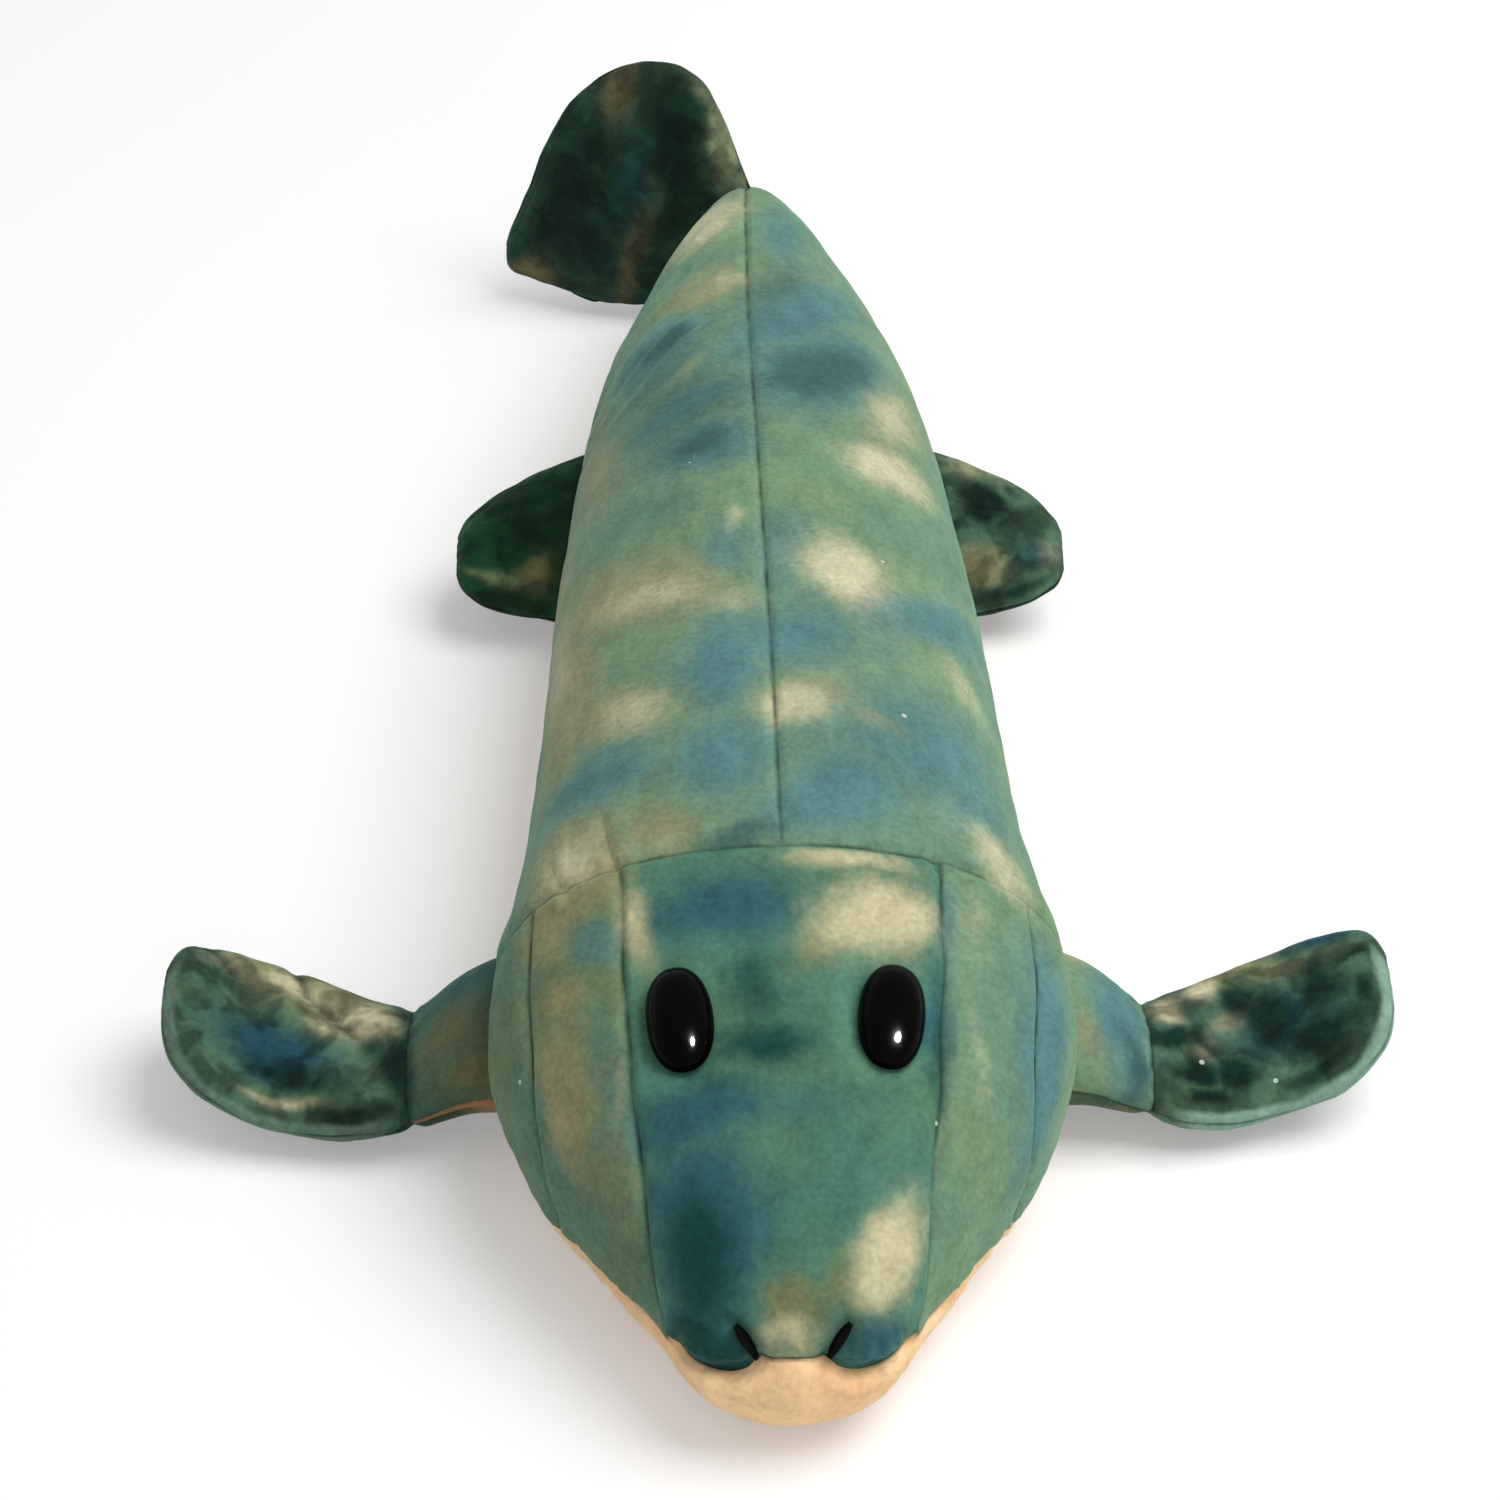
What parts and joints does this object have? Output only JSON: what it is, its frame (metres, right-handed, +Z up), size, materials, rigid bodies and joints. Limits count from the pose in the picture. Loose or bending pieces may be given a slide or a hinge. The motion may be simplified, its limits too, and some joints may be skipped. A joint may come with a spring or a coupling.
{
  "type": "stuffed toy",
  "caption": "Plush tiktaalik lying on its belly: broad flat head with oval safety eyes, tapering trunk, flapping front and hind fins and a side-bent tail fin.",
  "frame": {"origin": "on the floor under the middle of the belly, where the belly's flat rests", "axes": "+Z up, the snout points towards -Y, +X is the toy's own left side"},
  "size_m": [0.2244, 0.3802, 0.0655],
  "materials": {
    "green_plush": "matte",
    "teal_plush": "matte",
    "dark_velvet": "matte",
    "peach_plush": "matte",
    "fibrefill": "matte",
    "eye_plastic": "gloss",
    "washer_plastic": "matte",
    "black_thread": "matte"
  },
  "bodies": {
    "body": {"crown_panel": "teal_plush", "gill_panel_left": "teal_plush", "gill_panel_right": "teal_plush", "cheek_panel_left": "green_plush", "cheek_panel_right": "green_plush", "back_panel_left": "green_plush", "back_panel_right": "green_plush", "chin_panel": "peach_plush", "belly_panel": "peach_plush", "head_filling": "fibrefill", "trunk_filling": "fibrefill", "eye_left": "eye_plastic", "eye_washer_left": "washer_plastic", "nostril_stitch_left": "black_thread", "eye_right": "eye_plastic", "eye_washer_right": "washer_plastic", "nostril_stitch_right": "black_thread"},
    "front_arm_left": {"arm_top_left": "teal_plush", "arm_under_left": "peach_plush", "arm_filling_left": "fibrefill"},
    "front_blade_left": {"blade_top_left": "dark_velvet", "blade_under_left": "dark_velvet", "blade_filling_left": "fibrefill"},
    "hind_fin_left": {"hind_fin_top_left": "dark_velvet", "hind_fin_under_left": "dark_velvet", "hind_fin_filling_left": "fibrefill"},
    "front_arm_right": {"arm_top_right": "teal_plush", "arm_under_right": "peach_plush", "arm_filling_right": "fibrefill"},
    "front_blade_right": {"blade_top_right": "dark_velvet", "blade_under_right": "dark_velvet", "blade_filling_right": "fibrefill"},
    "hind_fin_right": {"hind_fin_top_right": "dark_velvet", "hind_fin_under_right": "dark_velvet", "hind_fin_filling_right": "fibrefill"},
    "tail_fin": {"tail_fin_panel_left": "dark_velvet", "tail_fin_panel_right": "dark_velvet", "tail_fin_filling": "fibrefill"}
  },
  "joints": [
    {"name": "shoulder_left", "type": "hinge", "parent": "body", "child": "front_arm_left", "pos_m": [0.04768, -0.142, 0.015], "axis": [0, -1, 0], "range_deg": [-10, 25], "stiffness_Nm_per_rad": 0.08},
    {"name": "wrist_left", "type": "hinge", "parent": "front_arm_left", "child": "front_blade_left", "pos_m": [0.06624, -0.1468, 0.0102], "axis": [0, -1, 0], "range_deg": [-15, 15], "stiffness_Nm_per_rad": 0.04},
    {"name": "hip_left", "type": "hinge", "parent": "body", "child": "hind_fin_left", "pos_m": [0.03619, 0.015, 0.015], "axis": [0, -1, 0], "range_deg": [-10, 25], "stiffness_Nm_per_rad": 0.03},
    {"name": "shoulder_right", "type": "hinge", "parent": "body", "child": "front_arm_right", "pos_m": [-0.04768, -0.142, 0.015], "axis": [0, 1, 0], "range_deg": [-10, 25], "stiffness_Nm_per_rad": 0.08},
    {"name": "wrist_right", "type": "hinge", "parent": "front_arm_right", "child": "front_blade_right", "pos_m": [-0.06624, -0.1468, 0.0102], "axis": [0, 1, 0], "range_deg": [-15, 15], "stiffness_Nm_per_rad": 0.04},
    {"name": "hip_right", "type": "hinge", "parent": "body", "child": "hind_fin_right", "pos_m": [-0.03619, 0.015, 0.015], "axis": [0, 1, 0], "range_deg": [-10, 25], "stiffness_Nm_per_rad": 0.03},
    {"name": "tail_bend", "type": "hinge", "parent": "body", "child": "tail_fin", "pos_m": [0, 0.1416, 0], "axis": [0, 0, 1], "range_deg": [-164, 4], "stiffness_Nm_per_rad": 0.05}
  ]
}
